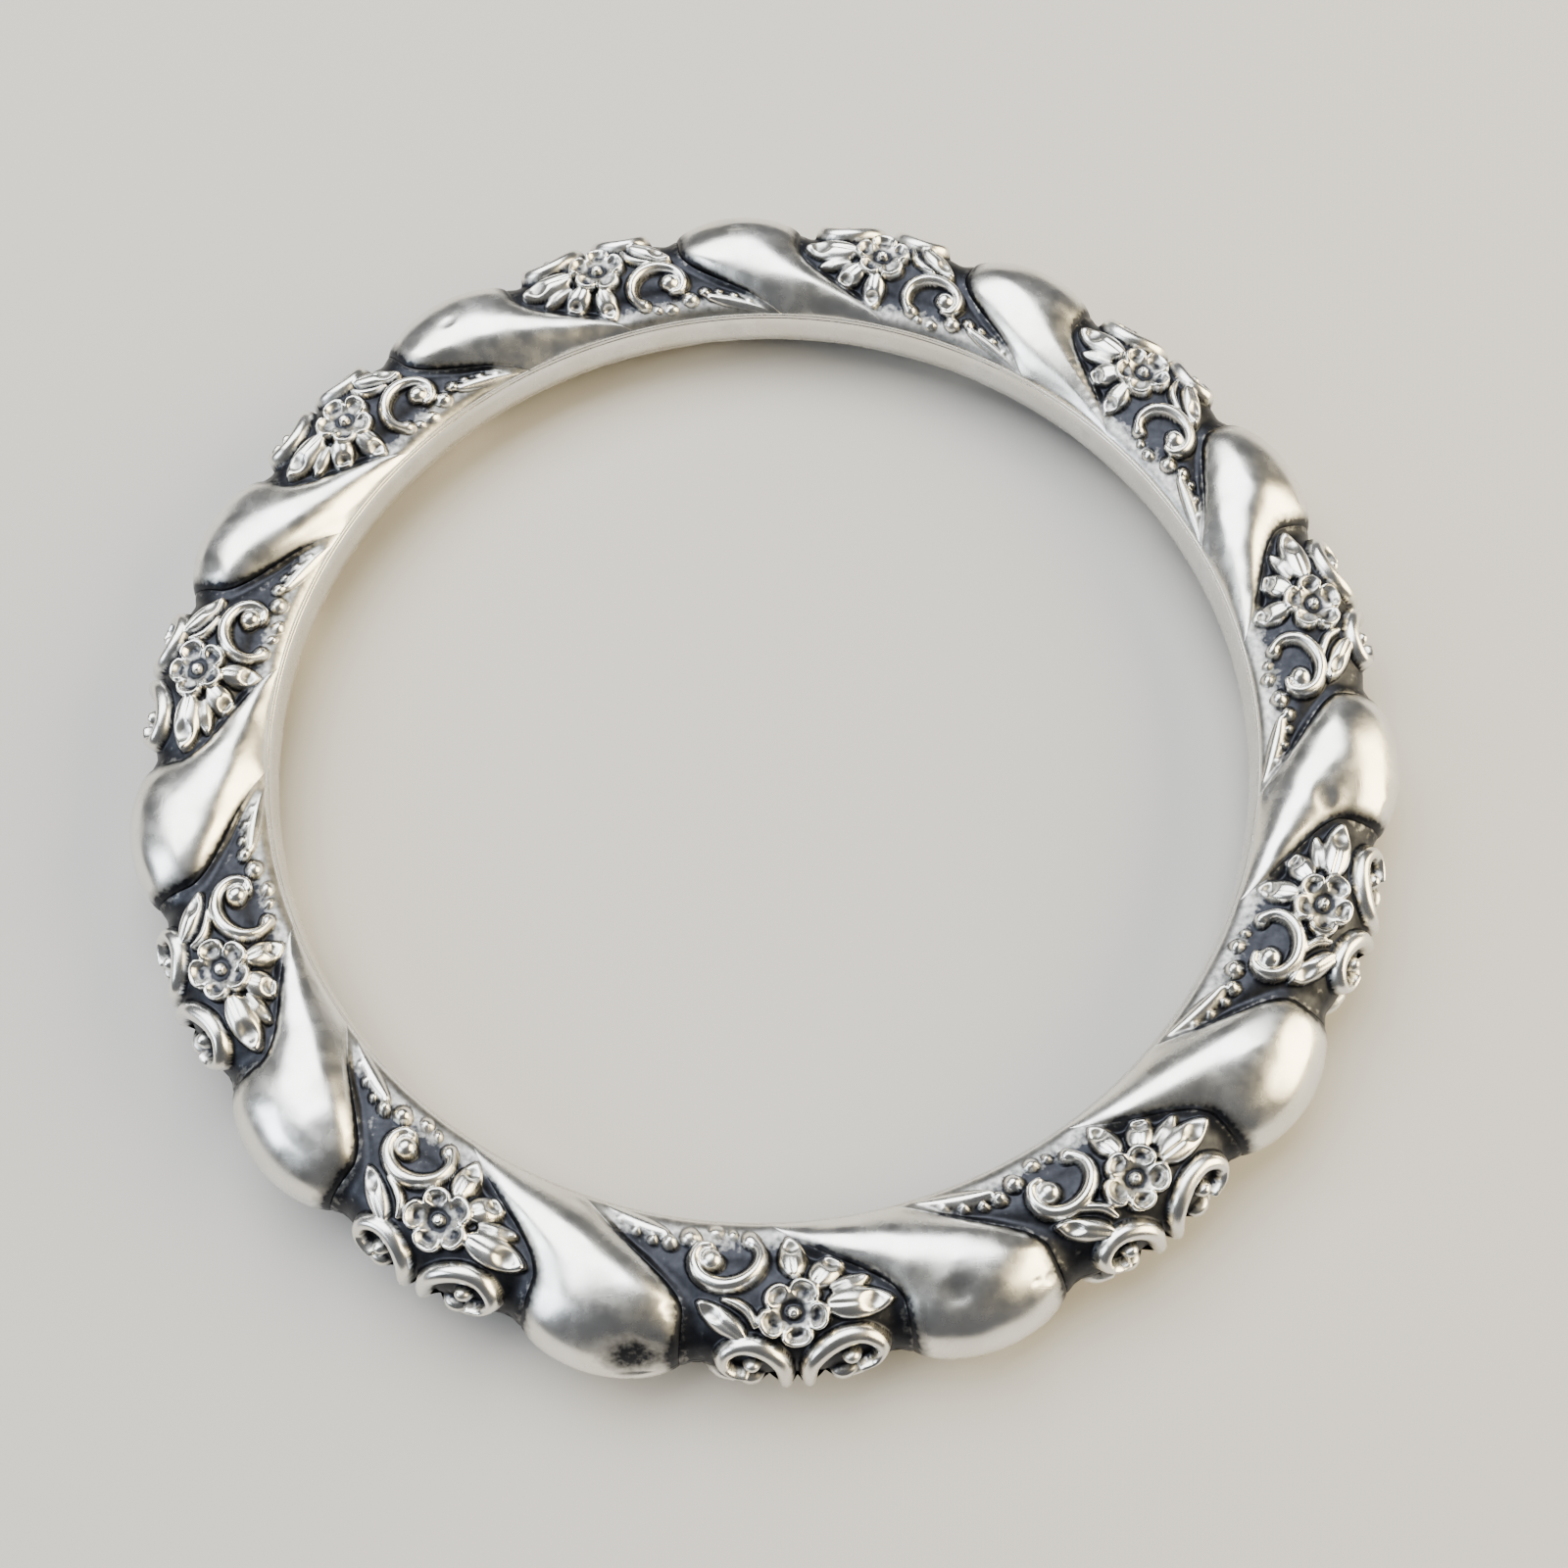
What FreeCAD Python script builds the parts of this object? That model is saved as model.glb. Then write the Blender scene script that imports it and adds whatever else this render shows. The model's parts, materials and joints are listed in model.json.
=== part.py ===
import FreeCAD, Part
import math
import os

# A closed slip-on bangle: a hollow tube of silver sheet bent into a ring. Two die-struck shells make the
# patterned outside, a plain band lines the wrist side, and solder joins them.
# The ring lies flat, its axis is +Z, and the origin is the middle of the wrist hole.
# A "turn" is the angle round the tube's own section: 0 on the outside, 90 on top, 180 at the wrist.

# Driving dimensions, in millimetres and degrees
WRIST_RADIUS = 32.5  # of the plain wall that the hand passes
TUBE_WIDTH = 9.5  # across the tube, from the wrist wall to the crests outside
TUBE_HEIGHT = 7.6  # from the lowest crests to the highest
LAND_HEIGHT = 1.0  # of the straight part of the wrist wall
SHEET = 0.45  # thickness of the shells and the band
SOLDER = 0.24  # width of every solder line
LOBE_PAIRS = 11  # each is one flower panel and one plain lobe
PLAIN_LOBE = 13.4  # width of a plain lobe round the ring
WIDE_LOBE_EXTRA = 1.0  # one plain lobe is this much wider, where the ends of each shell meet
WIDE_LOBE_ANGLE = 123.2  # where that lobe is, from +X
GROOVE_DEPTH = 1.35  # between lobes, round the outside
PANEL_DEPTH = 0.3  # how far the ground of a flower panel lies below the plain lobes
RIM_TURN = 164  # where the shells end and the band begins
SWEEP = 13.6  # how far the lobes would lean round the ring by the last of these turns
SWEEP_TURNS = (76, 190)  # they begin to lean at the first, and the rim comes before the last
FADE_START = 100  # the turn at which the grooves begin to run out towards the rim
FADE_POWER = 0.7  # below 1 keeps them deep for longer
CREST_POWER = 1.5  # above 1 gives broad crests and narrow grooves

# Worked out from them
HALF_WIDTH = TUBE_WIDTH / 2
HALF_HEIGHT = TUBE_HEIGHT / 2
HALF_LAND = LAND_HEIGHT / 2
TUBE_CENTRE = WRIST_RADIUS + HALF_WIDTH
FLOWER_PANEL = (360 - WIDE_LOBE_EXTRA) / LOBE_PAIRS - PLAIN_LOBE
WIDE_LOBE = PLAIN_LOBE + WIDE_LOBE_EXTRA
EQUATOR_TURN = math.degrees(math.asin(SOLDER / 2 / HALF_HEIGHT))
SOLDER_TURN = math.degrees(SOLDER / (HALF_HEIGHT - HALF_LAND))
SOLDER_ANGLE = math.degrees(SOLDER / TUBE_CENTRE)

# How finely the struck surface is described
PLAIN_STEPS = 8
PANEL_STEPS = 10
SHELL_TURNS = 14
BAND_POINTS = 6

Z_AXIS = FreeCAD.Vector(0, 0, 1)
X_AXIS = FreeCAD.Vector(1, 0, 0)
CENTRE = FreeCAD.Vector(0, 0, 0)


def envelope(turn):
    """Place and outward direction on the tube's outline, in the plane y = 0."""
    angle = math.radians(turn)
    lift = HALF_LAND if turn > 90 else 0
    rise = HALF_HEIGHT - lift
    place = FreeCAD.Vector(TUBE_CENTRE + HALF_WIDTH * math.cos(angle), 0, lift + rise * math.sin(angle))
    outward = FreeCAD.Vector(math.cos(angle) / HALF_WIDTH, 0, math.sin(angle) / rise).normalize()
    return place, outward


def sunk(turn, depth):
    """The point this far inside the tube's outline. On the seam round the outside it stays level."""
    place, outward = envelope(turn)
    if turn == EQUATOR_TURN:
        outward = X_AXIS
    return place - outward * depth


def about_axis(point, degrees):
    return FreeCAD.Rotation(Z_AXIS, degrees).multVec(point)


def eased(turn, start, end):
    """From 0 at the start turn smoothly to 1 at the end turn."""
    share = min(1, max(0, (turn - start) / (end - start)))
    return (1 - math.cos(math.pi * share)) / 2


def sweep(turn):
    return SWEEP * eased(turn, *SWEEP_TURNS)


def fade(turn):
    """1 round the outside, running out smoothly to 0 at the rim."""
    return (1 - eased(turn, FADE_START, RIM_TURN)) ** FADE_POWER


def lobes():
    """Each lobe as start angle, width, steps and sink of its crest, from the wide lobe's edge round to it."""
    angle = WIDE_LOBE / 2
    found = []
    for pair in range(LOBE_PAIRS):
        plain = WIDE_LOBE if pair == LOBE_PAIRS - 1 else PLAIN_LOBE
        found.append((angle, FLOWER_PANEL, PANEL_STEPS, PANEL_DEPTH))
        found.append((angle + FLOWER_PANEL, plain, PLAIN_STEPS, 0))
        angle += FLOWER_PANEL + plain
    return found


def columns():
    """Angle and depth round the outside at each step across the lobes, from the wide lobe's edge round to it."""
    found = []
    for start, width, steps, sink in lobes():
        for step in range(steps):
            across = 2 * step / steps - 1
            groove = (1 - math.cos(math.pi * abs(across) ** CREST_POWER)) / 2
            found.append((start + width * step / steps, sink + (GROOVE_DEPTH - sink) * groove))
    return found


def struck(angle, depth, turn, inside):
    """A point on the struck sheet's outer face, or inside it by the sheet's thickness."""
    return about_axis(sunk(turn, depth * fade(turn) + inside), angle - sweep(turn))


def shell_turns():
    step = (RIM_TURN - EQUATOR_TURN) / (SHELL_TURNS - 1)
    return [EQUATOR_TURN + step * i for i in range(SHELL_TURNS - 1)] + [RIM_TURN]


def curved_sheet(across):
    """A solid of the sheet's thickness over the given angles and depths, from the outside seam to the rim."""
    surfaces = []
    for inside in (0, SHEET):
        surface = Part.BSplineSurface()
        surface.interpolate([[struck(angle, depth, turn, inside) for turn in shell_turns()] for angle, depth in across])
        surfaces.append(surface)
    faces = [surface.toShape() for surface in surfaces]
    u0, u1, v0, v1 = surfaces[0].bounds()
    for side in (("uIso", u0), ("uIso", u1), ("vIso", v0), ("vIso", v1)):
        edge_wall = Part.BSplineSurface()
        edge_wall.buildFromNSections([getattr(surface, side[0])(side[1]) for surface in surfaces])
        faces.append(edge_wall.toShape())
    skin = Part.Shell(faces)
    skin.sewShape()
    solid = Part.Solid(skin)
    return solid if solid.Volume > 0 else solid.reversed()


def upper_shell():
    steps = columns()
    half_gap = SOLDER_ANGLE / 2
    first = (steps[0][0] + half_gap, GROOVE_DEPTH)
    last = (steps[0][0] + 360 - half_gap, GROOVE_DEPTH)
    return curved_sheet([first] + steps[1:] + [last])


def upper_joint_solder():
    middle = WIDE_LOBE / 2
    return curved_sheet([(middle + SOLDER_ANGLE * share, GROOVE_DEPTH) for share in (-0.5, -0.25, 0.25, 0.5)])


def turned_over(shape):
    """The same striking the other way up: turned half round about the line through the wide lobe."""
    copy = shape.copy()
    copy.rotate(CENTRE, X_AXIS, 180)
    return copy


def equator_solder():
    """A flat ring as wavy as the two seam edges that it joins."""
    rings = []
    for inside in (0, SHEET):
        curve = Part.BSplineCurve()
        points = [struck(angle, depth, EQUATOR_TURN, inside) - Z_AXIS * SOLDER for angle, depth in columns()]
        curve.interpolate(points, PeriodicFlag=True)
        rings.append(Part.Wire([curve.toShape()]))
    return Part.makeFace(rings, "Part::FaceMakerBullseye").extrude(Z_AXIS * SOLDER)


def upper_rim_solder():
    band_turn = RIM_TURN + SOLDER_TURN
    corners = [sunk(RIM_TURN, 0), sunk(RIM_TURN, SHEET), sunk(band_turn, SHEET), sunk(band_turn, 0)]
    section = Part.Face(Part.makePolygon(corners + corners[:1]))
    return section.revolve(CENTRE, Z_AXIS, 360)


def band_section():
    """Across the inner band: a straight land with a curved shoulder above and below."""
    start = RIM_TURN + SOLDER_TURN
    turns = [start + (180 - start) * i / (BAND_POINTS - 1) for i in range(BAND_POINTS)]
    edges = []
    ends = []
    for inside in (0, SHEET):
        upper = [sunk(turn, inside) for turn in turns]
        lower = [FreeCAD.Vector(p.x, 0, -p.z) for p in reversed(upper)]
        for shoulder in (upper, lower):
            curve = Part.BSplineCurve()
            curve.interpolate(shoulder)
            edges.append(curve.toShape())
        edges.append(Part.makeLine(upper[-1], lower[0]))
        ends.append((upper[0], lower[-1]))
    for first, second in zip(*ends):
        edges.append(Part.makeLine(first, second))
    return Part.Face(Part.Wire(Part.__sortEdges__(edges)))


def band_piece(start, sweep_angle):
    section = band_section()
    section.rotate(CENTRE, Z_AXIS, start)
    return section.revolve(CENTRE, Z_AXIS, sweep_angle)


def save(name, shape):
    """Turns the piece to where the wide lobe belongs and writes it."""
    placed = shape.copy()
    placed.rotate(CENTRE, Z_AXIS, WIDE_LOBE_ANGLE)
    if not placed.isValid() or placed.ShapeType != "Solid":
        raise ValueError(name + " isn't a valid solid")
    placed.exportStep("parts/" + name + ".step")
    print(f"{name:20s} {placed.Volume:9.2f} mm3")


os.makedirs("parts", exist_ok=True)
shell = upper_shell()
joint = upper_joint_solder()
rim = upper_rim_solder()
save("upper_shell", shell)
save("lower_shell", turned_over(shell))
save("inner_band", band_piece(SOLDER_ANGLE / 2, 360 - SOLDER_ANGLE))
save("equator_solder", equator_solder())
save("upper_rim_solder", rim)
save("lower_rim_solder", turned_over(rim))
save("upper_joint_solder", joint)
save("lower_joint_solder", turned_over(joint))
save("band_joint_solder", band_piece(-SOLDER_ANGLE / 2, SOLDER_ANGLE))
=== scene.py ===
import json
import math

import bpy
import numpy as np
from mathutils import Matrix, Vector


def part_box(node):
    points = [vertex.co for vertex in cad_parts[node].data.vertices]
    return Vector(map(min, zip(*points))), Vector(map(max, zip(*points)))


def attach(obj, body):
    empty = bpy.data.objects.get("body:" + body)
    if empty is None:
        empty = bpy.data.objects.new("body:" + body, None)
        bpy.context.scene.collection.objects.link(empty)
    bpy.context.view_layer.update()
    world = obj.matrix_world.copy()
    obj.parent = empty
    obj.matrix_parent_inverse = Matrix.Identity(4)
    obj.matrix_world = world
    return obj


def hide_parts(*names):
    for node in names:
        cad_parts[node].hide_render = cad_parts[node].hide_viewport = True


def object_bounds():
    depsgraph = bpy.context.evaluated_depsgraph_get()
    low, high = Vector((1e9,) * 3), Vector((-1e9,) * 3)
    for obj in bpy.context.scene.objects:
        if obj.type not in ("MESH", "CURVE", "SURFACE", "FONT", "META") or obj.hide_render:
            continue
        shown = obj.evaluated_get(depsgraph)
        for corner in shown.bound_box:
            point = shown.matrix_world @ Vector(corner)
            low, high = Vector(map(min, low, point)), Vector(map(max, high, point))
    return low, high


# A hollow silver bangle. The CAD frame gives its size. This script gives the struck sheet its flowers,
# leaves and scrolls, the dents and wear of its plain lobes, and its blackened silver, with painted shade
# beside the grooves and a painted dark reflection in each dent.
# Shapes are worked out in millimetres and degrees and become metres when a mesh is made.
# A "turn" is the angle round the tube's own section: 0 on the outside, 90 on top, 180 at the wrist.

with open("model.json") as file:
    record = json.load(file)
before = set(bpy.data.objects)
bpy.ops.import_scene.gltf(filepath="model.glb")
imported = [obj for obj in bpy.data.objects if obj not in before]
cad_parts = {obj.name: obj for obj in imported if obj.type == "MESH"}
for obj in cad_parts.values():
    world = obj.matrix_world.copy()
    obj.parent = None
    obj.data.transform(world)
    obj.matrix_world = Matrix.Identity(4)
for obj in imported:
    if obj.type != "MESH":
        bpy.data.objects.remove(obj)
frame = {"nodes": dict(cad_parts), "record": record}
cad_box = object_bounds()

MM = 0.001

# From the frame
bore = next(m for m in frame["record"]["mounts"] if m["name"] == "wrist_bore")
WRIST_RADIUS = bore["dims"]["r_mm"]
HALF_LAND = bore["dims"]["length_mm"] / 2
HALF_HEIGHT = cad_box[1].z / MM
HALF_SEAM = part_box("equator_solder")[1].z / MM

# The pattern, as the CAD part has it
TUBE_WIDTH = 9.5
SHEET = 0.45
LOBE_PAIRS = 11
PLAIN_LOBE = 13.4
WIDE_LOBE = 14.4
WIDE_LOBE_ANGLE = 123.2
GROOVE_DEPTH = 1.35
RIM_TURN = 164
SWEEP = 13.6
SWEEP_TURNS = (76, 190)
FADE_START = 100
FADE_POWER = 0.7

HALF_WIDTH = TUBE_WIDTH / 2
TUBE_CENTRE = WRIST_RADIUS + HALF_WIDTH
FLOWER_PANEL = (360 - WIDE_LOBE - PLAIN_LOBE * (LOBE_PAIRS - 1)) / LOBE_PAIRS
SOLDER_ANGLE = math.degrees(2 * HALF_SEAM / TUBE_CENTRE)
BAND_TURN = RIM_TURN + math.degrees(2 * HALF_SEAM / (HALF_HEIGHT - HALF_LAND))
SEAM_TURN = math.degrees(math.asin(HALF_SEAM / HALF_HEIGHT))

# The relief on a flower panel. From the flower, x runs clockwise round the ring and y towards the wrist.
FLOWER_TURN = 87
PATTERN_RADIUS = 37.4  # where x is measured
CREST_SINK = (0.33, 0.06)  # of a panel's highest motifs below the plain lobes, at the outside and on top
SINK_TURNS = (15, 70)  # over which it goes from the one to the other
RELIEF_DEPTH = 0.85  # from those motifs down to the ground
RELIEF_TURNS = (126, 164)  # over which the relief runs out towards the rim
EDGE_RISE = 0.35  # how much less than the groove's depth those motifs fall towards the panel's edges
GROUND_EDGE = (0.80, 1.0)  # share of a panel's half-width over which the ground goes down to the groove
MOTIF_EDGE = (0.90, 1.0)  # share over which the motifs end
PANEL_FULLNESS = (2.6, 0.7)  # of a panel's crest across it, for pillow()
LOBE_FULLNESS = 2.0  # of a plain lobe's
LOBE_POWERS = (0.62, 0.76)  # of a plain lobe on top and at the outside
LOBE_TURNS = (10, 50)  # over which it goes from the one to the other

# The blackening in hollows, together with painted shade beside the grooves and painted dark reflections in
# dents, from 0 where the silver is black to 1 where it is bright
GROUND_CLEAN = 0.10
RAISED_CLEAN = 1.05  # added on the highest motifs
HOLLOW_BLACK = 2.6  # taken off for each mm that a point lies below the mean round it
HOLLOW_REACH = 4  # mesh steps over which that mean is taken
RUBBED = ((0.36, 128, 156), (0.64, 158, 164))  # least brightness gained between these turns by rubbing
GROOVE_PAINTED_SHADE = 0.17  # share of a plain lobe's half-width beside the groove that is painted black as shade
DENT_PAINTED_REFLECTION = 2.4  # painted dark reflection, taken off for each mm of a dent or nick

# A plain lobe's unevenness
WAVES = (7.0, 4.0, 2.6)  # lengths
WAVE_SLOPE = 0.0035  # height of each over its length
WAVE_SINK = 0.022  # of their middle below the lobe's own surface
WAVE_SEED = 40
WAVE_EDGE = (0.7, 1.0)  # share of a lobe's half-width over which they end
WAVE_START, WAVE_END = (2, 14), (150, 162)  # turns over which they begin and end
DENT_START = (4, 14)  # turns over which dents begin, so that the seam has none

# The meshes
STEP = 0.10  # on a flower panel
PANEL_STEPS = round(math.radians(FLOWER_PANEL) * PATTERN_RADIUS / STEP)
PLAIN_STEPS = 56
INNER_STEPS = 24  # each way, on the sheet's hidden face
RING_STEPS = 720
LEVEL_TURNS = 12  # past the seam, over which offsets stop being level
SEAM_FULLNESS = 0.02  # of the solder round the outside, beyond the edges it joins
BAND_WAVES, BAND_WAVE_HEIGHT = 7, 0.012  # round the band's wall, and half the height of each


# ---------------- the tube's outline


def envelope(turn):
    """Radius and height on the tube's outline, and the outward direction there, at an array of turns."""
    angle = np.radians(turn)
    lift = np.where(turn > 90, HALF_LAND, 0.0)
    rise = HALF_HEIGHT - lift
    out = np.stack([np.cos(angle) / HALF_WIDTH, np.sin(angle) / rise], -1)
    out /= np.linalg.norm(out, axis=-1, keepdims=True)
    return TUBE_CENTRE + HALF_WIDTH * np.cos(angle), lift + rise * np.sin(angle), out


ALL_TURNS = np.linspace(0, 180, 1801)
all_radii, all_heights, _ = envelope(ALL_TURNS)
ALL_ARCS = np.concatenate([[0], np.cumsum(np.hypot(np.diff(all_radii), np.diff(all_heights)))])
ALL_ARCS -= np.interp(FLOWER_TURN, ALL_TURNS, ALL_ARCS)


def arc(turn):
    """Distance along the outline from the flower's centre."""
    return np.interp(turn, ALL_TURNS, ALL_ARCS)


def eased(value, start, end):
    """From 0 at the start smoothly to 1 at the end."""
    share = np.clip((value - start) / (end - start), 0, 1)
    return (1 - np.cos(np.pi * share)) / 2


def falling(value, width):
    """1 where the value is 0, falling smoothly to about a third at the width."""
    return np.exp(-((value / width) ** 2))


def sweep(turn):
    """How far the lobes lean round the ring."""
    return SWEEP * eased(turn, *SWEEP_TURNS)


def fade(turn):
    """1 round the outside, running out smoothly to 0 at the rim."""
    return (1 - eased(turn, FADE_START, RIM_TURN)) ** FADE_POWER


# ---------------- relief motifs, 0 on the ground and 1 at the top


def smooth_path(points, per_span=12):
    """Points along a smooth curve through the given x, y, half-width points."""
    p = np.array([points[0], *points, points[-1]], float)
    found = []
    for i in range(1, len(p) - 2):
        t = np.linspace(0, 1, per_span, endpoint=False)[:, None]
        found.append(
            0.5 * (2 * p[i] + (p[i + 1] - p[i - 1]) * t
            + (2 * p[i - 1] - 5 * p[i] + 4 * p[i + 1] - p[i + 2]) * t**2
            + (3 * p[i] - p[i - 1] - 3 * p[i + 1] + p[i + 2]) * t**3)
        )
    found.append(p[-2:-1])
    return np.concatenate(found)


def ridge(x, y, points, height):
    """A rounded wire that follows the points, each with its own half-width."""
    best = np.ones(x.shape)
    for px, py, width in smooth_path(points):
        best = np.minimum(best, ((x - px) ** 2 + (y - py) ** 2) / width**2)
    return height * np.clip(1 - best, 0, 1) ** 0.55


def bead(x, y, cx, cy, radius, height, stretch):
    """A round or slightly long knob."""
    d = ((x - cx) / stretch) ** 2 + (y - cy) ** 2
    return height * np.clip(1 - d / radius**2, 0, 1) ** 0.5


VEIN_DEPTH = 0.24
VEIN_HALF_WIDTH = 0.09
HOLLOW_MIDDLE = 0.69  # share of the leaf's length from its base
HOLLOW_HALF_LENGTH = 0.16  # share of the leaf's length


def leaf(x, y, base, tip, half_width, height, hollow):
    """A pointed leaf with a vein down its middle and a thumbed hollow towards its tip."""
    axis = np.array(tip, float) - base
    length = np.hypot(*axis)
    along = ((x - base[0]) * axis[0] + (y - base[1]) * axis[1]) / length**2
    side = ((y - base[1]) * axis[0] - (x - base[0]) * axis[1]) / length
    t = np.clip(along, 0, 1)
    width = half_width * np.sin(np.pi * t**0.8) ** 0.5 + 1e-6
    inside = (along > 0) & (along < 1)
    body = height * np.clip(1 - np.abs(side / width) ** 2.4, 0, 1) ** 0.5 * (0.8 + 0.2 * t)
    body -= VEIN_DEPTH * falling(side, VEIN_HALF_WIDTH) * np.clip(0.9 - 1.4 * t, 0, 1)
    thumbed = ((t - HOLLOW_MIDDLE) / HOLLOW_HALF_LENGTH) ** 2 + (side / (0.5 * half_width)) ** 2
    body -= hollow * np.exp(-(thumbed**1.5))
    return np.where(inside, np.clip(body, 0, None), 0)


PETALS = 5
PETAL_MIDDLE = 1.08  # from the flower's centre, and half of a petal's length
PETAL_HALF_WIDTH = 1.02
PETAL_UNEVENNESS = 0.07  # of size, from one petal to another
LIP, LIP_WIDTH = 0.76, 0.22  # middle and half-width of the rolled edge, 1 being the petal's own edge
CUP = 0.34  # height of the hollow that it surrounds
BOSS_RADIUS = 0.42


def flower(x, y, turned):
    """Five cupped petals of uneven size, with thick rolled edges, round a dimpled boss."""
    rho = np.hypot(x, y)
    found = np.zeros(x.shape)
    for petal in range(PETALS):
        way = math.radians(360 / PETALS * petal - 90 + turned)
        out = x * math.cos(way) + y * math.sin(way)
        side = y * math.cos(way) - x * math.sin(way)
        size = 1 + PETAL_UNEVENNESS * math.sin(2.4 * petal + turned)
        along = np.abs(out - PETAL_MIDDLE) / (PETAL_MIDDLE * size)
        across = np.abs(side) / (PETAL_HALF_WIDTH * size)
        q = (along**2.4 + across**2.4) ** 0.42  # 1 on the petal's edge
        lip = falling(q - LIP, LIP_WIDTH) * eased(rho, 0.8, 1.5)
        cup = (CUP + (1 - CUP) * lip) * np.clip((1 - q) / 0.14, 0, 1) ** 0.5
        cup = np.where(q < 1, cup * (0.5 + 0.5 * eased(rho, 0.45, 1.0)) * (0.94 + 0.06 * (petal % 2)), 0)
        beside = rho * (np.abs(np.arctan2(side, out)) - math.pi / PETALS)  # 0 halfway to the next petal
        found = np.maximum(found, cup * (1 - 0.6 * falling(beside, 0.09) * eased(rho, 0.9, 1.6)))
    boss = 0.85 * np.clip(1 - (rho / BOSS_RADIUS) ** 2, 0, 1) ** 0.5 - 0.25 * falling(rho, 0.13)
    return np.maximum(found, boss)


# x, y, half-width along each ridge
SCROLL = (
    (2.1, 4.15, 0.42), (1.55, 3.2, 0.46), (1.75, 2.1, 0.50), (2.7, 1.25, 0.55), (4.0, 1.0, 0.56),
    (5.2, 1.5, 0.52), (5.7, 2.5, 0.46), (5.4, 3.35, 0.40), (4.7, 3.5, 0.30),
)
LEFT_VOLUTE = (
    (-0.62, -6.6, 0.46), (-0.64, -5.2, 0.50), (-0.85, -4.0, 0.60), (-1.55, -2.95, 0.74), (-2.6, -2.3, 0.80),
    (-3.7, -2.3, 0.74), (-4.45, -3.0, 0.60), (-4.65, -3.9, 0.46), (-4.2, -4.8, 0.36), (-3.4, -5.1, 0.28),
)
RIGHT_VOLUTE = (
    (0.62, -6.6, 0.46), (0.62, -5.2, 0.50), (0.75, -4.1, 0.60), (1.3, -3.1, 0.70), (2.25, -2.5, 0.76),
    (3.2, -2.6, 0.68), (3.85, -3.3, 0.54), (3.9, -4.3, 0.42), (3.4, -5.0, 0.34), (2.7, -5.2, 0.26),
)
CRESCENT = ((2.15, -1.2, 0.20), (2.5, -0.35, 0.34), (3.2, 0.20, 0.34), (4.0, 0.45, 0.16))
TAIL = ((7.9, 4.2, 0.36), (9.0, 4.5, 0.46), (10.2, 4.85, 0.42), (11.4, 5.2, 0.30), (12.6, 5.55, 0.12))
# x, y, radius, height, stretch along x
SCROLL_BEADS = ((4.6, 2.6, 0.82, 1.0, 1.0), (2.2, 4.1, 0.58, 1.0, 1.0))
TAIL_BEADS = (
    (3.5, 4.6, 0.30, 0.70, 1.0), (4.6, 4.75, 0.42, 0.90, 1.2), (6.25, 4.2, 0.60, 1.0, 1.1),
    (7.5, 3.75, 0.46, 0.85, 1.1), (8.6, 3.8, 0.26, 0.60, 1.2), (9.8, 4.2, 0.26, 0.60, 1.2),
    (11.0, 4.7, 0.24, 0.60, 1.2),
)
OUTER_BEADS = (
    (2.35, -4.15, 0.58, 0.85, 0.9), (-2.95, -3.95, 0.62, 0.85, 0.9),
    (2.5, -6.4, 0.70, 0.8, 1.1), (-2.5, -6.4, 0.70, 0.8, 1.1),
)
LEAVES = (
    # base, tip, half-width, height, hollow
    ((-1.9, -0.05), (-5.75, -0.35), 1.12, 0.95, 0.45),
    ((-2.2, 0.75), (-4.6, 1.5), 0.66, 0.66, 0.10),
    ((-1.25, 1.15), (-2.95, 3.15), 0.98, 0.86, 0.55),
    ((-0.15, 1.75), (0.0, 4.65), 0.92, 0.98, 0.60),
    ((2.75, -1.95), (5.5, 0.25), 0.80, 0.90, 0.35),
)
# From the wide lobe's edge round, how far each panel's scroll is off from the pattern in x and y, how many
# degrees its flower is turned, and how far the flower is off towards the wrist
PANELS = (
    (0.7, 0.1, 10, 0.35), (-0.2, 0.1, -8, 0), (-0.1, 0.0, 14, 0), (-0.2, 0.0, 0, 0), (0.3, 0.3, -6, -0.4),
    (0.2, -0.3, 18, 0), (0.1, -0.5, 5, 0), (0.6, -0.3, -12, 0), (0.9, -0.2, 8, 0), (1.0, 0.0, -4, 0),
    (0.5, -0.1, 16, 0),
)


def relief(x, y, pair):
    """How high the motifs of a panel stand. Its tail is off by half as much as its scroll."""
    dx, dy, turned, flower_off = PANELS[pair]
    heights = [flower(x, y - flower_off, turned)]
    for off, ridges, beads in (
        (1.0, ((0.95, SCROLL),), SCROLL_BEADS),
        (0.5, ((0.85, TAIL),), TAIL_BEADS),
        (0.0, ((0.98, LEFT_VOLUTE), (0.98, RIGHT_VOLUTE), (0.75, CRESCENT)), OUTER_BEADS),
    ):
        there = (x - dx * off, y - dy * off)
        heights += [ridge(*there, points, height) for height, points in ridges]
        heights += [bead(*there, *spec) for spec in beads]
    heights += [leaf(x, y, *spec) for spec in LEAVES]
    return np.max(heights, axis=0)


# Dents in the plain lobe that follows each panel: x, y, radius along x, radius along y, depth
DENTS = {
    2: ((-11.5, -1.0, 1.6, 1.0, 0.05),),
    3: (
        (-12.6, -3.9, 2.2, 2.3, 0.14), (-12.7, -4.0, 1.6, 1.75, 0.25),
        (-14.3, -0.4, 0.35, 0.3, 0.08), (-14.5, -0.9, 0.3, 0.25, 0.06),
    ),
    4: ((-9.2, -1.0, 0.85, 0.75, 0.16), (-14.3, -2.5, 0.3, 0.35, 0.07), (-13.5, -2.2, 0.2, 0.2, 0.05)),
    6: ((-7.1, 1.2, 0.8, 0.7, 0.14), (-8.0, -2.9, 0.15, 0.5, 0.04)),
    9: ((-10.8, -1.6, 0.6, 0.35, 0.06),),
    10: ((-11.5, -0.6, 0.5, 0.4, 0.05),),
}
NICKED_LOBE = 8  # a row of short nicks runs along one edge of this lobe
NICKS = 7
NICK_START = (-4.4, 2.35)
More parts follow.
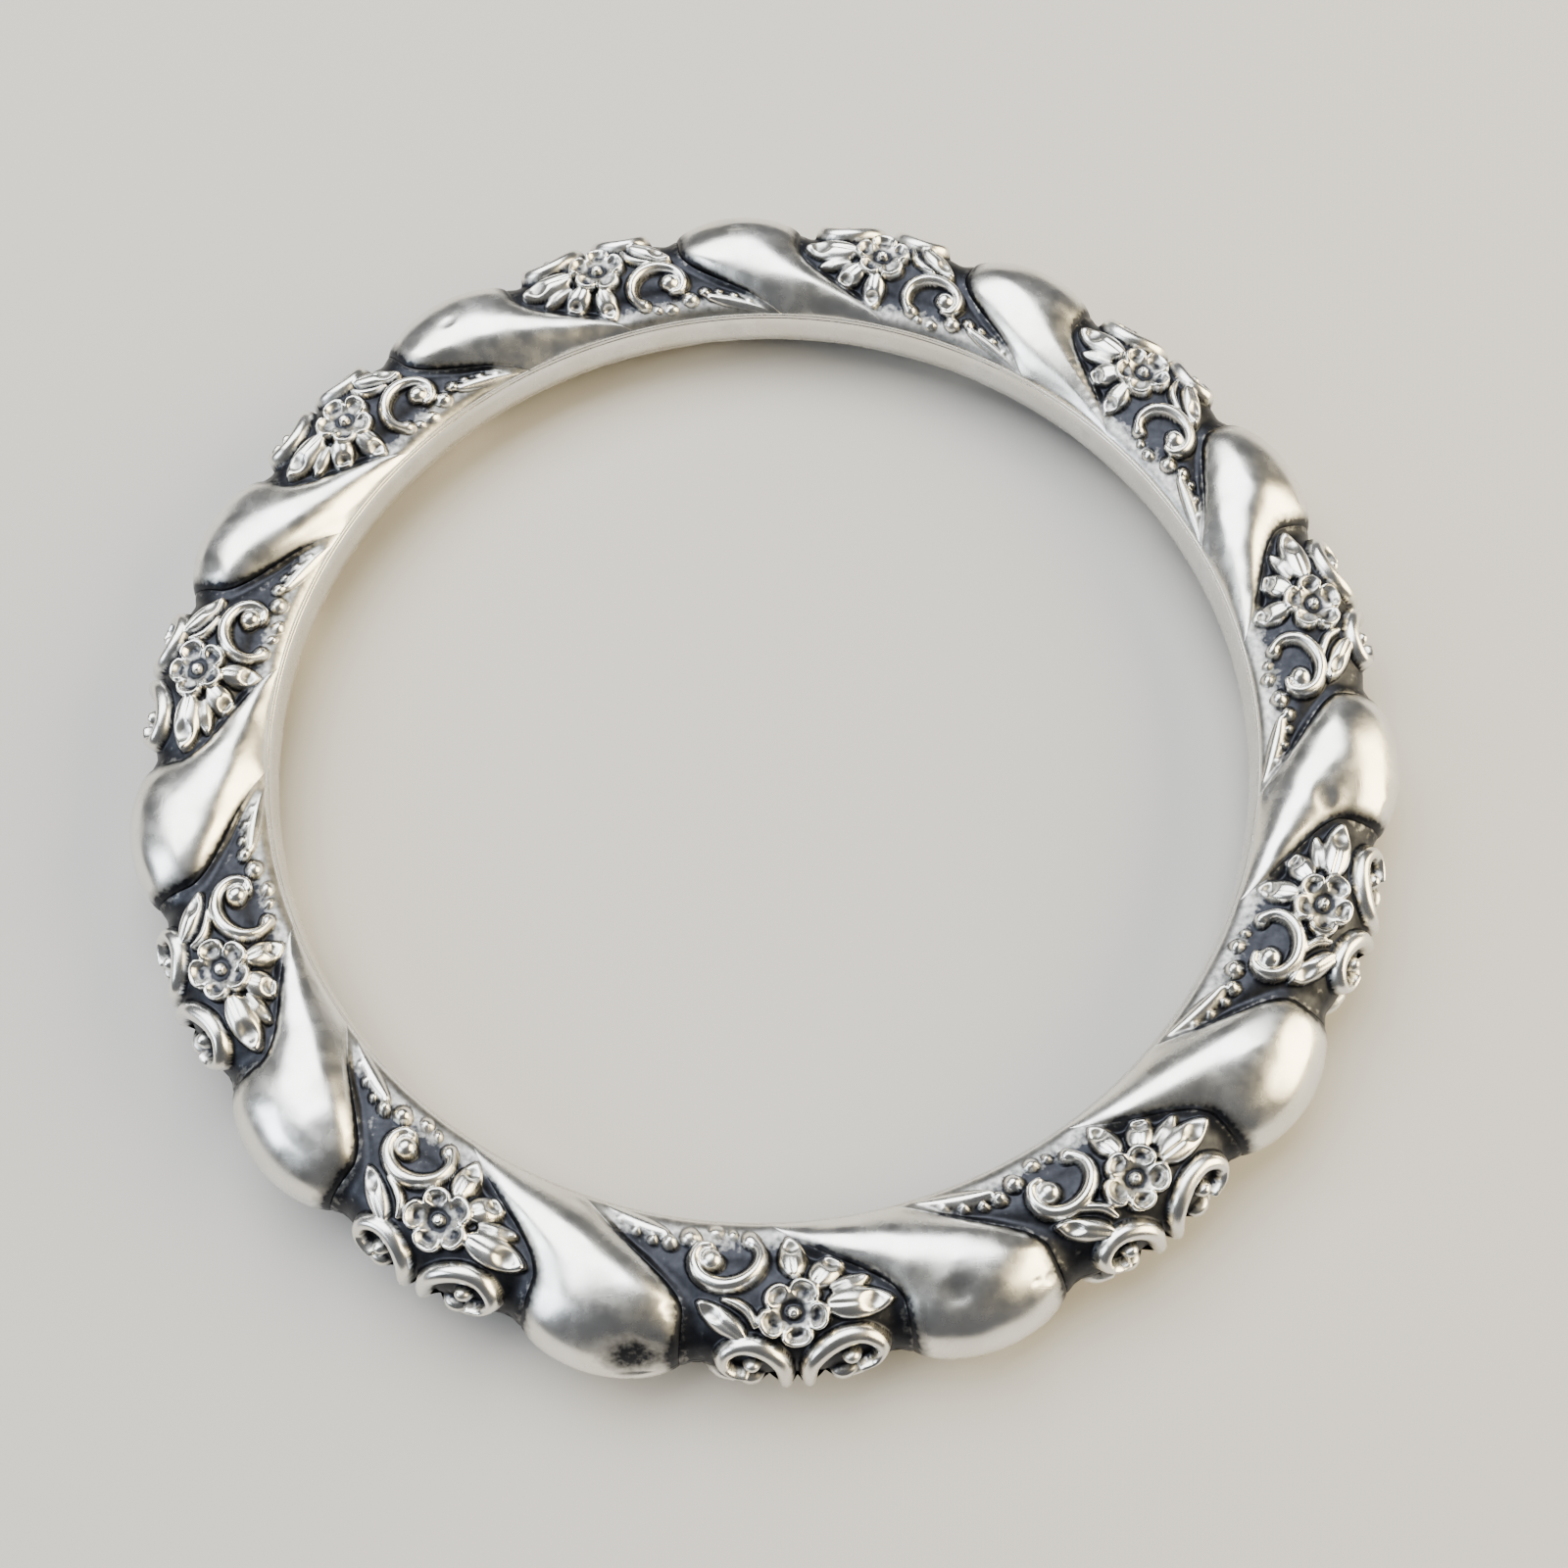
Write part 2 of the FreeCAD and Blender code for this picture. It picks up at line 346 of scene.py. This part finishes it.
NICK_STEP = (0.62, 0.33)
NICK_SIZE = (0.10, 0.45, 0.06)  # half-width, half-length and depth
NICK_WAY = (0.86, 0.5)  # cosine and sine of their slant


def damage(x, y, pair):
    """How deep the dents and nicks of a plain lobe are."""
    found = np.zeros(x.shape)
    for cx, cy, rx, ry, depth in DENTS.get(pair, ()):
        q = ((x - cx) / rx) ** 2 + ((y - cy) / ry) ** 2
        found += depth * np.exp(-(q**1.6))
    if pair == NICKED_LOBE:
        half_width, half_length, depth = NICK_SIZE
        for i in range(NICKS):
            dx, dy = x - NICK_START[0] - NICK_STEP[0] * i, y - NICK_START[1] - NICK_STEP[1] * i
            across, along = dx * NICK_WAY[0] + dy * NICK_WAY[1], dy * NICK_WAY[0] - dx * NICK_WAY[1]
            found += depth * falling(across, half_width) * falling(along, half_length)
    return found


# ---------------- the struck sheet


def pillow(s, fullness, power):
    """0 on a lobe's crest and 1 in the groove beside it."""
    return 1 - np.clip(1 - np.abs(s) ** fullness, 0, 1) ** power


def blurred(values, reach):
    """A running mean over rows and columns."""
    for axis in (0, 1):
        padded = np.pad(values, [(reach, reach) if a == axis else (0, 0) for a in (0, 1)], mode="edge")
        total = np.cumsum(padded, axis=axis)
        total = np.insert(total, 0, 0, axis=axis)
        n = values.shape[axis]
        high = np.take(total, np.arange(2 * reach + 1, 2 * reach + 1 + n), axis=axis)
        low = np.take(total, np.arange(n), axis=axis)
        values = (high - low) / (2 * reach + 1)
    return values


def panel_surface(s, turn, x, y, pair):
    """Outward offset and cleanness of the silver on a flower panel, s being -1 to 1 across it."""
    shown = 1 - eased(turn, *RELIEF_TURNS)
    groove = GROOVE_DEPTH * fade(turn)
    sink = CREST_SINK[0] + (CREST_SINK[1] - CREST_SINK[0]) * eased(turn, *SINK_TURNS)
    crest = sink * shown + (GROOVE_DEPTH - EDGE_RISE) * fade(turn) * pillow(s, *PANEL_FULLNESS)
    ground = crest + RELIEF_DEPTH * shown
    ground = ground + (groove - ground) * eased(np.abs(s), *GROUND_EDGE)
    raised = np.clip(relief(x, y, pair), 0, 1.1) * (1 - eased(np.abs(s), *MOTIF_EDGE))
    offset = -(ground - (ground - np.minimum(crest, ground)) * raised)
    offset = (offset * 3 + blurred(offset, 1)) / 4
    hollow = np.clip(blurred(blurred(offset, HOLLOW_REACH), HOLLOW_REACH) - offset, 0, None)
    clean_and_lit = np.clip(GROUND_CLEAN + RAISED_CLEAN * raised - HOLLOW_BLACK * hollow, 0, 1)
    rubbed = sum(amount * eased(turn, start, end) for amount, start, end in RUBBED)
    return offset, np.maximum(clean_and_lit, rubbed)


def plain_surface(s, turn, x, y, pair, dented):
    """The same on a plain lobe, whose cleanness also holds painted shade beside the groove and a painted
    dark reflection in dents.
    """
    outside = 1 - eased(turn, *LOBE_TURNS)
    power = LOBE_POWERS[0] + (LOBE_POWERS[1] - LOBE_POWERS[0]) * outside
    depth = GROOVE_DEPTH * fade(turn) * pillow(s, LOBE_FULLNESS, power)
    keep = (1 - eased(np.abs(s), *WAVE_EDGE)) * eased(turn, *WAVE_START) * (1 - eased(turn, *WAVE_END))
    rng = np.random.default_rng(WAVE_SEED + pair)
    waves = np.zeros(x.shape)
    for length in WAVES:
        way, phase = rng.uniform(0, np.pi), rng.uniform(0, 2 * np.pi)
        waves += length * np.sin((x * np.cos(way) + y * np.sin(way)) * 2 * np.pi / length + phase)
    hurt = damage(x, y, pair) if dented else np.zeros(x.shape)
    depth += keep * (WAVE_SINK + WAVE_SLOPE * waves) + hurt * eased(turn, *DENT_START)
    # Painted shade: the silver is made black beside the groove, where shade falls.
    clean_and_lit = 1 - falling(1 - np.abs(s), GROOVE_PAINTED_SHADE) * np.clip(fade(turn) * 1.8, 0, 1)
    # A painted dark reflection: each dent and nick is darkened by its depth.
    return -np.clip(depth, 0, None), np.clip(clean_and_lit - hurt * DENT_PAINTED_REFLECTION, 0, 1)


def place(angle, turn, offset):
    """Points in millimetres, before the pattern is turned to where the wide lobe belongs."""
    radius, height, out = envelope(turn)
    level = np.clip((turn - SEAM_TURN) / LEVEL_TURNS, 0, 1)
    out = out * np.stack([np.ones(turn.shape), level], -1)
    out /= np.linalg.norm(out, axis=-1, keepdims=True)
    radius = radius + out[..., 0] * offset
    height = height + out[..., 1] * offset
    around = np.radians(angle - sweep(turn))
    return np.stack([radius * np.cos(around), radius * np.sin(around), height], -1)


def quads(grid):
    a, b, c, d = grid[:-1, :-1], grid[:-1, 1:], grid[1:, 1:], grid[1:, :-1]
    return np.stack([a, b, c, d], -1).reshape(-1, 4).tolist()


def bridge(fine, fine_share, coarse, coarse_share, flip):
    """Triangles between two edges of different fineness."""
    faces = []
    i = j = 0
    while i < len(fine) - 1 or j < len(coarse) - 1:
        if j == len(coarse) - 1 or (i < len(fine) - 1 and fine_share[i + 1] <= coarse_share[j + 1]):
            face = [int(fine[i]), int(coarse[j]), int(fine[i + 1])]
            i += 1
        else:
            face = [int(fine[i]), int(coarse[j]), int(coarse[j + 1])]
            j += 1
        faces.append(face[::-1] if flip else face)
    return faces


def rows():
    """Distance from the flower's centre and turn of each row of a section, from the seam to the rim."""
    steps = round((arc(RIM_TURN) - arc(SEAM_TURN)) / STEP)
    arcs = np.linspace(arc(SEAM_TURN), arc(RIM_TURN), steps + 1)
    turns = np.interp(arcs, ALL_ARCS, ALL_TURNS)
    turns[0], turns[-1] = SEAM_TURN, RIM_TURN
    return arcs, turns


def columns(start, plain, pair):
    """Angle of each column of a section, and where it is from -1 to 1 across its panel or lobe."""
    s_panel = np.linspace(-1, 1, PANEL_STEPS + 1)
    s_plain = np.sin(np.linspace(-1, 1, PLAIN_STEPS + 1) * math.pi / 2)[1:]
    over_panel = start + (s_panel + 1) / 2 * FLOWER_PANEL
    over_plain = start + FLOWER_PANEL + (s_plain + 1) / 2 * plain
    angles = np.concatenate([over_panel, over_plain])
    if pair == 0:
        angles[0] += SOLDER_ANGLE / 2
    if pair == LOBE_PAIRS - 1:
        angles[-1] -= SOLDER_ANGLE / 2
    return angles, np.concatenate([s_panel, s_plain])


def closed_sheet(outer, inner, clean_and_lit):
    """The fine outer face, every few points of the inner one, and the four narrow sides between them."""
    picked = [np.linspace(0, n - 1, INNER_STEPS + 1).round().astype(int) for n in clean_and_lit.shape]
    inner = inner[np.ix_(*picked)]
    grid = np.arange(clean_and_lit.size).reshape(clean_and_lit.shape)
    inner_grid = grid.size + np.arange(picked[0].size * picked[1].size).reshape(inner.shape[:2])
    down, across = [np.linspace(0, 1, n) for n in clean_and_lit.shape]
    inner_down, inner_across = [at / (n - 1) for at, n in zip(picked, clean_and_lit.shape)]
    outside = quads(grid)
    faces = outside + quads(inner_grid[:, ::-1])
    faces += bridge(grid[0], across, inner_grid[0], inner_across, False)
    faces += bridge(grid[-1], across, inner_grid[-1], inner_across, True)
    faces += bridge(grid[:, 0], down, inner_grid[:, 0], inner_down, True)
    faces += bridge(grid[:, -1], down, inner_grid[:, -1], inner_down, False)
    vertices = np.concatenate([outer.reshape(-1, 3), inner.reshape(-1, 3)])
    cleanness_and_light = np.concatenate([clean_and_lit.ravel(), np.zeros(inner_grid.size)])
    return vertices, faces, cleanness_and_light, len(outside)


def section(pair, dented):
    """One flower panel and the plain lobe after it as a closed piece of sheet, and its edge on the seam."""
    start = WIDE_LOBE / 2 + pair * (FLOWER_PANEL + PLAIN_LOBE)
    plain = WIDE_LOBE if pair == LOBE_PAIRS - 1 else PLAIN_LOBE
    arcs, turns = rows()
    angles, across = columns(start, plain, pair)
    shape = (len(turns), len(angles))
    turn = np.broadcast_to(turns[:, None], shape)
    angle = np.broadcast_to(angles, shape)
    s = np.broadcast_to(across, shape)
    x = np.radians(start + FLOWER_PANEL / 2 - angle + sweep(turn)) * PATTERN_RADIUS
    y = np.broadcast_to(arcs[:, None], shape)

    on_panel, on_plain = zip(*[np.split(values, [PANEL_STEPS + 1], axis=1) for values in (s, turn, x, y)])
    surfaces = panel_surface(*on_panel, pair), plain_surface(*on_plain, pair, dented)
    offset, clean_and_lit = [np.hstack(halves) for halves in zip(*surfaces)]
    offset[:, [0, PANEL_STEPS, -1]] = -GROOVE_DEPTH * fade(turns)[:, None]
    hidden = -(RELIEF_DEPTH * (1 - s**2) + GROOVE_DEPTH * s**2) * fade(turn) - SHEET
    mesh = closed_sheet(place(angle, turn, offset), place(angle, turn, hidden), clean_and_lit)
    return mesh, (angles, offset[0], clean_and_lit[0])


def ring(profile_at, angles, clean_and_lit, shown):
    """A closed band round the ring. profile_at gives its section at the angle of that number, as radius and
    height of each point, with the points on its shown side first."""
    radius, height = np.moveaxis(np.array([profile_at(i) for i in range(len(angles))]), -1, 0)
    around = np.radians(angles)[:, None]
    points = np.stack([radius * np.cos(around), radius * np.sin(around), height], -1)
    grid = np.arange(radius.size).reshape(radius.shape)
    grid = np.concatenate([grid, grid[:1]])
    grid = np.concatenate([grid, grid[:, :1]], axis=1)
    outside = quads(grid[:, :shown][:, ::-1])
    faces = outside + quads(grid[:, shown - 1:][:, ::-1])
    cleanness_and_light = np.broadcast_to(np.reshape(clean_and_lit, (-1, 1)), radius.shape).ravel()
    return points.reshape(-1, 3), faces, cleanness_and_light, len(outside)


def make_object(name, vertices, faces, cleanness_and_light, smooth_faces, turned_over=False):
    """A mesh object in metres in the row frame, with the cleanness of its silver, and the painted shade on
    it, as an attribute.
    """
    points = np.array(vertices, float) * MM
    if turned_over:
        points[:, 1:] *= -1
    a = math.radians(WIDE_LOBE_ANGLE)
    turn = np.array([[math.cos(a), -math.sin(a), 0], [math.sin(a), math.cos(a), 0], [0, 0, 1]])
    mesh = bpy.data.meshes.new(name)
    mesh.from_pydata((points @ turn.T).tolist(), [], faces)
    mesh.update()
    smooth = np.zeros(len(faces), bool)
    smooth[:smooth_faces] = True
    mesh.polygons.foreach_set("use_smooth", smooth)
    attribute = mesh.attributes.new("clean_and_lit", "FLOAT", "POINT")
    attribute.data.foreach_set("value", np.array(cleanness_and_light, np.float32))
    made = bpy.data.objects.new(name, mesh)
    bpy.context.scene.collection.objects.link(made)
    return made


# ---------------- materials


class Nodes:
    """Short names for building a material's nodes."""

    def __init__(self, name):
        self.material = bpy.data.materials.new(name)
        self.material.use_nodes = True
        self.tree = self.material.node_tree
        self.tree.nodes.clear()

    def add(self, kind, **values):
        node = self.tree.nodes.new(kind)
        for key, value in values.items():
            setattr(node, key, value)
        return node

    def link(self, output, socket):
        self.tree.links.new(output, socket)

    def noise(self, coords, scale, detail=3.0, stretch=(1, 1, 1), turned=(0, 0, 0)):
        mapping = self.add("ShaderNodeMapping")
        mapping.inputs["Scale"].default_value = stretch
        mapping.inputs["Rotation"].default_value = turned
        self.link(coords, mapping.inputs["Vector"])
        noise = self.add("ShaderNodeTexNoise")
        noise.inputs["Scale"].default_value = scale
        noise.inputs["Detail"].default_value = detail
        self.link(mapping.outputs[0], noise.inputs["Vector"])
        return noise.outputs["Fac"]

    def ramp(self, value, low, high, to_low=0.0, to_high=1.0):
        node = self.add("ShaderNodeMapRange")
        for key, number in (("From Min", low), ("From Max", high), ("To Min", to_low), ("To Max", to_high)):
            node.inputs[key].default_value = number
        self.link(value, node.inputs["Value"])
        return node.outputs[0]

    def maths(self, kind, first, second):
        node = self.add("ShaderNodeMath", operation=kind)
        for socket, value in zip(node.inputs, (first, second)):
            if isinstance(value, (int, float)):
                socket.default_value = value
            else:
                self.link(value, socket)
        return node.outputs[0]

    def mix(self, factor, first, second):
        node = self.add("ShaderNodeMix", data_type="RGBA")
        self.link(factor, node.inputs[0])
        for socket, value in ((node.inputs[6], first), (node.inputs[7], second)):
            if isinstance(value, tuple):
                socket.default_value = (*value, 1)
            else:
                self.link(value, socket)
        return node.outputs[2]


# The noises' waves per metre and their detail
CLOUDS = (260, 4)
GRAIN = (2600, 5)
WEAR = (700, 6)
SCRATCHES = (900, 2)
SCRATCH_WAYS = (
    # stretch, turn, and the noise beyond which there is a scratch
    ((9, 0.5, 0.5), (0.3, 0.2, 0.7), 0.62),
    ((0.5, 9, 0.5), (0.1, 0.5, 1.9), 0.64),
)
SCRATCH_EDGE = 0.13  # further noise over which a scratch gets its full depth
DULLED = (0.90, 0.88, 0.83)  # share of each colour left where the silver is a little dull
BLACKEST, GREYEST = (0.012, 0.013, 0.017), (0.045, 0.047, 0.055)  # of the blackening, which also serves as the painted shade and the painted dark reflections
BLACK_ROUGHNESS = 0.42
BUMP_STRENGTH = 0.22
BUMP_DEPTH = 0.03
GRAIN_SHARE, SCRATCH_SHARE = 0.35, 0.22  # of the bump


def silver(name, patina_and_shade, bright, roughness):
    """Worn silver. Taking the mesh's attribute, it is blackened in its hollows and painted with shade
    beside the grooves and dark reflections in the dents; otherwise it is darkened by noise alone.
    """
    n = Nodes(name)
    shader = n.add("ShaderNodeBsdfPrincipled")
    n.link(shader.outputs[0], n.add("ShaderNodeOutputMaterial").inputs[0])
    shader.inputs["Metallic"].default_value = 1.0
    coords = n.add("ShaderNodeTexCoord").outputs["Object"]

    cloudy = n.noise(coords, *CLOUDS)
    grain = n.noise(coords, *GRAIN)
    if patina_and_shade:
        clean_and_lit = n.add("ShaderNodeAttribute", attribute_name="clean_and_lit").outputs["Fac"]
        ragged = n.maths("ADD", clean_and_lit, n.ramp(grain, 0.3, 0.7, -0.10, 0.10))
        shown = n.ramp(n.maths("ADD", ragged, n.ramp(cloudy, 0.3, 0.7, -0.05, 0.05)), 0.10, 0.78)
    else:
        shown = n.ramp(cloudy, 0.2, 0.4, 0.75, 1.0)
    dull = tuple(colour * share for colour, share in zip(bright, DULLED))
    tone = n.mix(n.ramp(cloudy, 0.35, 0.70), bright, dull)
    black = n.mix(grain, BLACKEST, GREYEST)
    n.link(n.mix(shown, black, tone), shader.inputs["Base Color"])

    wear = n.ramp(n.noise(coords, *WEAR), 0.30, 0.75, -0.05, 0.10)
    rough = n.maths("ADD", n.ramp(shown, 0.0, 1.0, BLACK_ROUGHNESS, roughness), wear)
    n.link(rough, shader.inputs["Roughness"])

    one_way, other_way = [
        n.ramp(n.noise(coords, *SCRATCHES, stretch, turned), threshold, threshold + SCRATCH_EDGE)
        for stretch, turned, threshold in SCRATCH_WAYS
    ]
    scratches = n.maths("MULTIPLY", n.maths("ADD", one_way, other_way), SCRATCH_SHARE)
    bump = n.add("ShaderNodeBump")
    bump.inputs["Strength"].default_value = BUMP_STRENGTH
    bump.inputs["Distance"].default_value = BUMP_DEPTH * MM
    n.link(n.maths("SUBTRACT", n.maths("MULTIPLY", grain, GRAIN_SHARE), scratches), bump.inputs["Height"])
    n.link(bump.outputs[0], shader.inputs["Normal"])
    return n.material


STRUCK = silver("struck_silver", True, (0.88, 0.87, 0.84), 0.235)
BAND = silver("band_silver", False, (0.84, 0.82, 0.78), 0.24)
SOLDER = silver("silver_solder", False, (0.82, 0.80, 0.76), 0.25)
BLACKENED = silver("blackened_solder", False, (0.06, 0.06, 0.065), BLACK_ROUGHNESS)


# ---------------- pieces


def finish_piece(piece, node_name, material):
    """Gives a piece its look, hangs it from the root body and hides the CAD node that it stands for."""
    piece.data.materials.append(material)
    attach(piece, "root")
    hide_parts(node_name)


seam_angles, seam_offsets, seam_clean_and_lit = [], [], []
for pair in range(LOBE_PAIRS):
    for half in ("upper", "lower"):
        mesh, edge = section(pair, half == "upper")
        piece = make_object(f"{half}_shell_{pair + 1:02d}", *mesh, half == "lower")
        finish_piece(piece, f"{half}_shell", STRUCK)
    for found, values in zip((seam_angles, seam_offsets, seam_clean_and_lit), edge):
        found.append(values[:-1])
seam_angles, seam_offsets, seam_clean_and_lit = map(np.concatenate, (seam_angles, seam_offsets, seam_clean_and_lit))
seam_radius = float(envelope(np.array(SEAM_TURN))[0])


def seam_profile(i):
    """The solder round the outside is a little full between the two shells' edges."""
    outer = seam_radius + seam_offsets[i]
    full = min(outer + SEAM_FULLNESS, cad_box[1].x / MM)
    inner = outer - SHEET
    return [(outer, -HALF_SEAM), (full, 0), (outer, HALF_SEAM), (inner, HALF_SEAM), (inner, -HALF_SEAM)]


def outline_profile(turns):
    """A strip of sheet that follows the tube's outline."""
    radius, height, out = envelope(np.array(turns, float))
    outer = np.stack([radius, height], -1)
    inner = outer - out * SHEET
    return np.concatenate([outer, inner[::-1]])


even_angles = np.linspace(0, 360, RING_STEPS, endpoint=False)
outer_seam = make_object("outer_seam", *ring(seam_profile, seam_angles, seam_clean_and_lit, 3))
finish_piece(outer_seam, "equator_solder", STRUCK)

rim_profile = outline_profile(np.linspace(RIM_TURN, BAND_TURN, 4))
for half in ("upper", "lower"):
    mesh = ring(lambda i: rim_profile, even_angles, 1.0, len(rim_profile) // 2)
    piece = make_object(f"{half}_rim_seam", *mesh, half == "lower")
    finish_piece(piece, f"{half}_rim_solder", SOLDER)

upper_outer, upper_inner = np.split(outline_profile(np.linspace(BAND_TURN, 180, 8)), 2)
FLIP = np.array([1, -1])


def band_profile(i):
    """The band's wall is very slightly wavy round the ring, as hand-finished work is."""
    outer = np.concatenate([upper_outer, (upper_outer * FLIP)[::-1]])
    inner = np.concatenate([(upper_inner * FLIP)[::-1], upper_inner])
    middle = 1 - (outer[:, 1] / outer[0, 1]) ** 2
    wave = BAND_WAVE_HEIGHT * (1 + math.sin(math.radians(even_angles[i] * BAND_WAVES))) * middle
    return np.concatenate([outer + np.stack([wave, np.zeros(len(outer))], -1), inner])


band = make_object("wrist_band", *ring(band_profile, even_angles, 1.0, 2 * len(upper_outer)))
finish_piece(band, "inner_band", BAND)

for name, node in frame["nodes"].items():
    if not node.hide_render:
        node.data.materials.clear()
        node.data.materials.append(BAND if name == "band_joint_solder" else BLACKENED)


# ---------------- floor, light and camera, in metres and degrees

FLOOR_HALF_SIZE = 1.2
FLOOR_COLOUR = (0.52, 0.50, 0.475)
FLOOR_ROUGHNESS = 0.8
LIGHTS = (
    # name, place, width and height, watts, colour
    ("overhead", (-0.16, 0.28, 0.60), (0.85, 0.55), 11, (0.95, 0.98, 1.0)),
    ("right", (0.50, -0.02, 0.24), (0.50, 0.40), 7.5, (1.0, 0.83, 0.50)),
    ("left", (-0.55, -0.15, 0.35), (0.30, 0.30), 2.2, (0.82, 0.91, 1.0)),
)
SURROUNDINGS = (0.50, 0.52, 0.56)
SURROUNDINGS_STRENGTH = 0.25
CAMERA_ELEVATION = 67.54
CAMERA_ROLL = -2.86
CAMERA_DISTANCE = 0.11008
CAMERA_SHIFT = (0.00132, -0.00395)  # to the right and up
CLIP_START = 0.005
SENSOR_WIDTH, LENS = 36, 37.73  # in millimetres


def make_floor():
    low, high, z = -FLOOR_HALF_SIZE, FLOOR_HALF_SIZE, cad_box[0].z
    corners = [(low, low, z), (high, low, z), (high, high, z), (low, high, z)]
    mesh = bpy.data.meshes.new("floor")
    mesh.from_pydata(corners, [], [(0, 1, 2, 3)])
    n = Nodes("floor")
    shader = n.add("ShaderNodeBsdfPrincipled")
    n.link(shader.outputs[0], n.add("ShaderNodeOutputMaterial").inputs[0])
    shader.inputs["Base Color"].default_value = (*FLOOR_COLOUR, 1)
    shader.inputs["Roughness"].default_value = FLOOR_ROUGHNESS
    mesh.materials.append(n.material)
    made = bpy.data.objects.new("floor", mesh)
    bpy.context.scene.collection.objects.link(made)


def soft_light(name, where, size, power, colour):
    """A rectangular light that points at the middle of the ring."""
    light = bpy.data.lights.new(name, "AREA")
    light.shape = "RECTANGLE"
    light.size, light.size_y = size
    light.energy = power
    light.color = colour
    made = bpy.data.objects.new(name, light)
    made.location = where
    made.rotation_mode = "QUATERNION"
    made.rotation_quaternion = (-Vector(where)).to_track_quat("-Z", "Y")
    bpy.context.scene.collection.objects.link(made)


def make_surroundings():
    world = bpy.data.worlds.new("studio")
    world.use_nodes = True
    background = world.node_tree.nodes["Background"]
    background.inputs[0].default_value = (*SURROUNDINGS, 1)
    background.inputs[1].default_value = SURROUNDINGS_STRENGTH
    bpy.context.scene.world = world


def make_camera():
    elevation, roll = math.radians(CAMERA_ELEVATION), math.radians(CAMERA_ROLL)
    back = Vector((0, -math.cos(elevation), math.sin(elevation)))
    right = Vector((1, 0, 0))
    up = Vector((0, math.sin(elevation), math.cos(elevation)))
    side = right * math.cos(roll) + up * math.sin(roll)
    top = up * math.cos(roll) - right * math.sin(roll)
    matrix = Matrix((side, top, back)).transposed().to_4x4()
    matrix.translation = back * CAMERA_DISTANCE + right * CAMERA_SHIFT[0] + up * CAMERA_SHIFT[1]
    data = bpy.data.cameras.new("camera")
    data.sensor_width = SENSOR_WIDTH
    data.lens = LENS
    data.clip_start = CLIP_START
    made = bpy.data.objects.new("camera", data)
    made.matrix_world = matrix
    bpy.context.scene.collection.objects.link(made)
    bpy.context.scene.camera = made


make_floor()
make_camera()
for spec in LIGHTS:
    soft_light(*spec)
make_surroundings()

bpy.context.view_layer.update()
